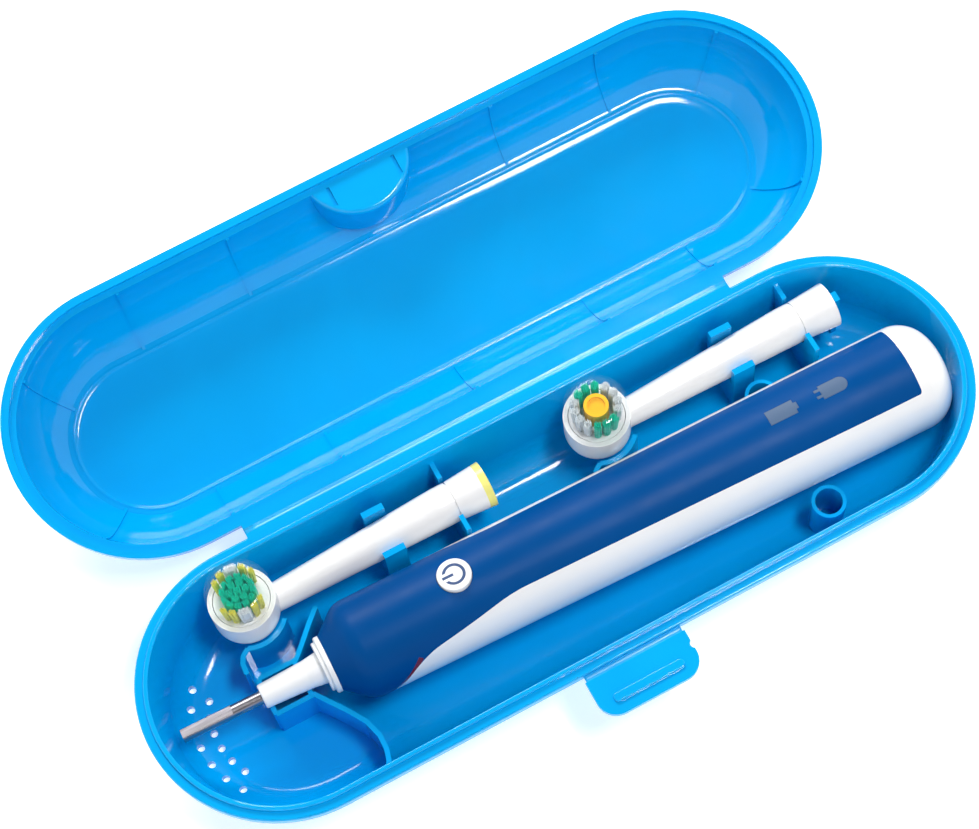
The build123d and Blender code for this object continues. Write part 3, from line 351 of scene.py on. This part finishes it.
def bristle_piece(head, colour, tufts):
    """All tufts of one colour. Each tuft: angle, radius, width across, depth outwards, height."""
    name = "bristles_%s_%s" % (head, colour)
    rng = random.Random(name)
    verts, faces = [], []
    for angle, radius, width, depth, height in tufts:
        a = math.radians(angle)
        out = Vector((math.cos(a), math.sin(a), 0))
        across = Vector((-math.sin(a), math.cos(a), 0))
        lean = math.tan(math.radians(LEAN)) if radius > OUTER_RADIUS else 0.0
        for x, y in tuft_places(width, depth, PITCH, rng):
            foot = out * (radius + y * 0.9) + across * x * 0.9 + Vector((0, 0, BRISTLE_Z - SINK))
            flare = 1.0 + rng.uniform(-0.05, 0.12)
            top = out * (radius + y * flare + height * lean) + across * x * flare
            top += Vector((rng.uniform(-UNEVEN, UNEVEN), rng.uniform(-UNEVEN, UNEVEN),
                           BRISTLE_Z + height + rng.uniform(-0.16, 0.0)))
            add_strand(verts, faces, foot, top, STRAND_R, rng.uniform(0, 6.28))
    frame_m = HEADS[head]
    world = [frame_m @ (v / 1000.0) for v in verts]
    obj = mesh_piece(name, world, faces, M[colour + "_nylon"])
    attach(obj, "head_%s_brush" % head)
    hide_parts("head_%s_bristles_%s" % (head, colour))


TUFTS = {
    ("a", "green"): [(0, 0.0, 1.9, 1.9, 6.7)] + [(k * 60, 2.05, 1.75, 1.6, 6.7) for k in range(6)]
                    + [(15 + k * 30, 3.72, 1.65, 1.5, 6.6) for k in range(12)],
    ("a", "white"): [(90, 5.35, 2.9, 1.8, 7.1), (270, 5.35, 2.9, 1.8, 7.1)],
    ("a", "yellow"): [(k, 5.4, 1.6, 1.25, 7.4) for k in (62, 118, 242, 298)]
                     + [(k, 5.4, 1.5, 1.2, 7.0) for k in (39, 141, 219, 321)],
    ("b", "green"): [(k, 4.9, 1.75, 2.2, 6.8) for k in (65, 90, 115, 245, 270, 295)],
    ("b", "white"): [(k, 4.9, 1.75, 2.2, 7.1) for k in (12.5, 37.5, 142.5, 167.5, 192.5, 217.5,
                                                      322.5, 347.5)],
}
for (head, colour), tufts in TUFTS.items():
    bristle_piece(head, colour, tufts)


def disc_face(head):
    """Top of the brush disc, which the bristle nodes' own slabs made up."""
    verts, faces = [], []
    n = 64
    for z, r in ((5.6, DISC_R), (6.3, DISC_R), (BRISTLE_Z, DISC_R - DISC_EDGE)):
        for i in range(n):
            a = 2 * math.pi * i / n
            verts.append(Vector((r * math.cos(a), r * math.sin(a), z)))
    for k in range(2):
        for i in range(n):
            a, b = k * n + i, k * n + (i + 1) % n
            faces.append((a, b, b + n, a + n))
    faces.append(tuple(2 * n + i for i in range(n)))
    faces.append(tuple(reversed(range(n))))
    world = [HEADS[head] @ (v / 1000.0) for v in verts]
    obj = mesh_piece("disc_face_" + head, world, faces, M["white_satin"], smooth=False)
    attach(obj, "head_%s_brush" % head)


disc_face("a")
disc_face("b")


# ---------------------------------------------------------------- film hinges
FILM_HALF = 0.25                 # half thickness of a film, mm
RIM_PLAY = 0.1                   # half the play between the two rims when shut, mm
LID_FILM_END = 66.2              # half length of the lid's film
LID_FILM_SIDE = 0.67             # half its width
LID_BEND = 0.3                   # it bends within this far of its middle
LATCH_FILM_END = 12.8
STEPS = 12                       # stretches across a film


def film(name, rows, x0, x1, node):
    """Thin strip along X through (y, z, half thickness) rows, with flat ends."""
    n = 40
    verts, faces = [], []
    for i in range(n + 1):
        x = x0 + (x1 - x0) * i / n
        for y, z, h in rows:
            verts.append(mm(x, y, z + h))
        for y, z, h in reversed(rows):
            verts.append(mm(x, y, z - h))
    ring = 2 * len(rows)
    for i in range(n):
        for k in range(ring):
            a = i * ring + k
            b = i * ring + (k + 1) % ring
            faces.append((a, a + ring, b + ring, b))
    faces.append(tuple(range(ring)))
    faces.append(tuple(n * ring + k for k in reversed(range(ring))))
    obj = mesh_piece(name, verts, faces, M["case_film"])
    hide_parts(node)
    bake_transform(obj)


def lid_hinge_rows():
    """Cross-section of the lid's film, from the base's strip to the lid's."""
    rows = []
    t = math.radians(LID_RAISE)
    for k in range(STEPS + 1):
        u = -LID_FILM_SIDE + 2 * LID_FILM_SIDE * k / STEPS
        thin = FILM_HALF - 0.09 * math.exp(-(u / LID_BEND) ** 2)
        h = -RIM_PLAY - FILM_HALF
        a = t * min(1.0, max(0.0, (u + LID_BEND) / (2 * LID_BEND)))
        y = HINGE_Y + u * math.cos(a) - h * math.sin(a)
        z = HINGE_Z + u * math.sin(a) + h * math.cos(a)
        rows.append((y, z, thin))
    return rows


def latch_hinge_rows():
    """Cross-section of the tab's film, from the base's strip to the tab, thinnest at step 8."""
    return [(LATCH_Y + 1.12 - 1.64 * k / STEPS, LATCH_Z,
             FILM_HALF - 0.08 * math.exp(-((k - 8) / 2.5) ** 2)) for k in range(STEPS + 1)]


film("lid_film", lid_hinge_rows(), -LID_FILM_END, LID_FILM_END,
     "lid_hinge_film")
film("latch_film", latch_hinge_rows(), -LATCH_FILM_END, LATCH_FILM_END,
     "latch_hinge_film")


# ---------------------------------------------------------------- lid floor's rolled edge
def lid_edge_profile():
    """(distance from the centre line, height): floor rolling up, fine bead, start of the wall."""
    rows = [(14.4, -0.03), (15.2, 0.0)]
    rows += [(15.6 + 0.3 * k, (0.3 * k) ** 2 / 32.0 + 0.004) for k in range(10)]
    rows += [(18.55, 0.34), (18.68, 0.52), (18.85, 0.68), (19.05, 0.74), (19.25, 0.71),
             (19.4, 0.66)]
    rows += [(19.55 + 0.2 * k, 0.655 + 0.04 * 0.2 * k + (0.2 * k) ** 2 / 22.0) for k in range(9)]
    return [(s, LID_FLOOR + h) for s, h in rows]


def lid_edge():
    """The edge profile swept round the lid's floor."""
    place = (Matrix.Translation(mm(0, HINGE_Y, HINGE_Z))
             @ Matrix.Rotation(math.radians(LID_RAISE), 4, "X")
             @ Matrix.Translation(mm(0, HINGE_Y, -RIM_PLAY)))
    path = []
    steps = 48
    for end in (1, -1):
        for k in range(steps + 1):
            a = math.pi * k / steps - math.pi / 2
            path.append((end * STRAIGHT, Vector((end * math.cos(a), end * math.sin(a), 0))))
    profile = lid_edge_profile()
    n = len(profile)
    verts = [place @ (mm(x, 0, z) + out * s / 1000.0) for x, out in path for s, z in profile]
    faces = []
    for i in range(len(path)):
        j = (i + 1) % len(path)
        for k in range(n - 1):
            faces.append((i * n + k, j * n + k, j * n + k + 1, i * n + k + 1))
    obj = mesh_piece("lid_edge", verts, faces, M["case_blue"])
    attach(obj, "lid")


lid_edge()


# ---------------------------------------------------------------- floor and lights
def floor():
    """Wide white floor just under the case."""
    size, low = 3.0, -0.0002
    verts = [(-size, -size, low), (size, -size, low), (size, size, low), (-size, size, low)]
    m, tree, shader = new_material("floor")
    tone = noise(tree, 3.0, 2.0)
    tree.links.new(ramp(tree, tone, [(0.3, 0.86), (0.7, 0.88)]), shader.inputs["Base Color"])
    shader.inputs["Roughness"].default_value = 0.9
    shader.inputs["Specular IOR Level"].default_value = 0.1
    shader.inputs["Emission Color"].default_value = (1.0, 1.0, 1.0, 1.0)
    shader.inputs["Emission Strength"].default_value = 0.55
    obj = mesh_piece("floor", verts, [(0, 1, 2, 3)], m, smooth=False)


def area_light(name, place, target, size, power, turn=0.0):
    """Rectangular lamp aimed at target, turned about its own axis by turn degrees."""
    data = bpy.data.lights.new(name, "AREA")
    data.shape = "RECTANGLE"
    data.size, data.size_y = size
    data.energy = power
    obj = bpy.data.objects.new(name, data)
    scene.collection.objects.link(obj)
    obj.location = place
    obj.rotation_mode = "QUATERNION"
    aim = (Vector(target) - Vector(place)).to_track_quat("-Z", "Y")
    obj.rotation_quaternion = aim @ Quaternion((0, 0, 1), math.radians(turn))


def world():
    """Soft white surround, dimmer overhead than at the horizon."""
    w = bpy.data.worlds.new("world")
    w.use_nodes = True
    tree = w.node_tree
    back = tree.nodes["Background"]
    coord = tree.nodes.new("ShaderNodeTexCoord")
    parts = tree.nodes.new("ShaderNodeSeparateXYZ")
    tree.links.new(coord.outputs["Generated"], parts.inputs["Vector"])
    tree.links.new(ramp(tree, parts.outputs["Z"], [(0.35, 1.0), (0.8, 0.14)]),
                   back.inputs["Color"])
    back.inputs["Strength"].default_value = 1.0
    scene.world = w


floor()
world()
area_light("key", (0.1, 0.95, 0.8), (0.0, 0.02, 0.02), (0.7, 0.4), 10.5)
area_light("fill", (-0.8, -0.6, 0.8), (0.0, 0.0, 0.02), (0.8, 0.8), 1.0)
area_light("softbox", (0.212, -0.18, 0.96), (0.05, 0.08, 0.01), (0.3, 0.14), 5.2, 32.0)
